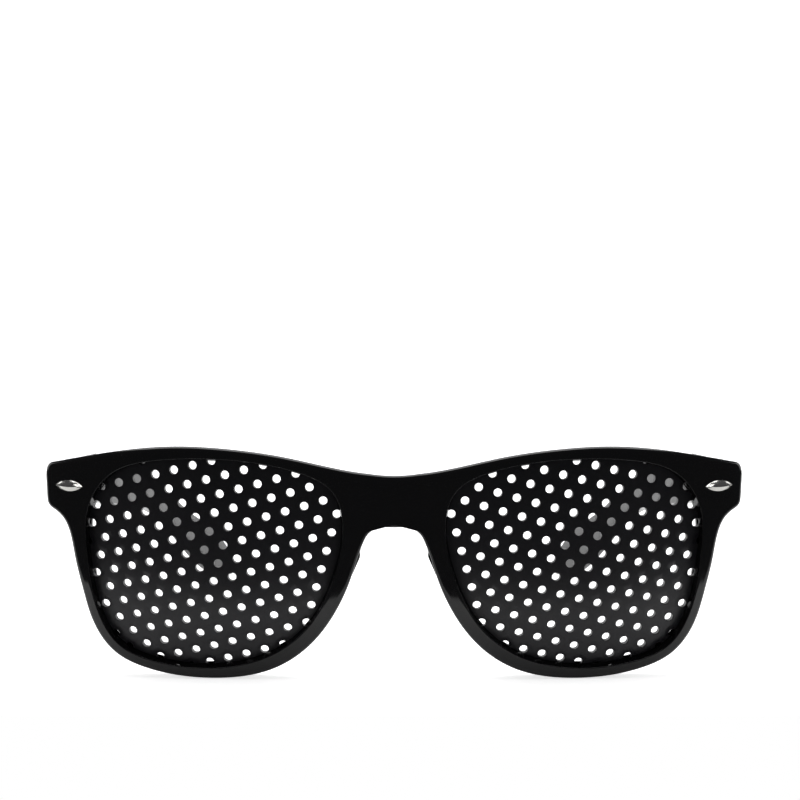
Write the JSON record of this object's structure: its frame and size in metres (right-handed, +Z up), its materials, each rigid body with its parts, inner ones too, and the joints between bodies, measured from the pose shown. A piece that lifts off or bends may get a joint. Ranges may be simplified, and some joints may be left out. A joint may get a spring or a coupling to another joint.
{
  "type": "pinhole glasses",
  "caption": "Pinhole glasses with a moulded front, domed black lenses pierced by a lattice of small holes, and folding temples.",
  "frame": {"origin": "centre of the bounding box at its base, on the surface that the open glasses stand on", "axes": "+X towards the wearer's left, +Y back along the temples away from the lenses, +Z up"},
  "size_m": [0.1462, 0.155, 0.0498],
  "materials": {
    "frame": "polished moulded polycarbonate",
    "lens": "semi-gloss with a fine moulded texture",
    "steel": "fine satin",
    "shield": "polished bevels"
  },
  "bodies": {
    "front": {"front_frame": "frame", "lens_left": "lens", "rivet_shield_left": "shield", "front_hinge_left": "steel", "hinge_screw_left": "steel", "lens_right": "lens", "rivet_shield_right": "shield", "front_hinge_right": "steel", "hinge_screw_right": "steel"},
    "temple_left": {"temple_left": "frame", "temple_hinge_left": "steel", "temple_pin_front_left": "steel", "temple_pin_rear_left": "steel"},
    "temple_right": {"temple_right": "frame", "temple_hinge_right": "steel", "temple_pin_front_right": "steel", "temple_pin_rear_right": "steel"}
  },
  "joints": [
    {"name": "temple_fold_left", "type": "hinge", "parent": "front", "child": "temple_left", "pos_m": [0.06636, -0.06187, 0.04205], "axis": [0, 0.1382, 0.9904], "range_deg": [0, 84]},
    {"name": "temple_fold_right", "type": "hinge", "parent": "front", "child": "temple_right", "pos_m": [-0.06636, -0.06187, 0.04205], "axis": [0, -0.1382, -0.9904], "range_deg": [0, 72]}
  ]
}
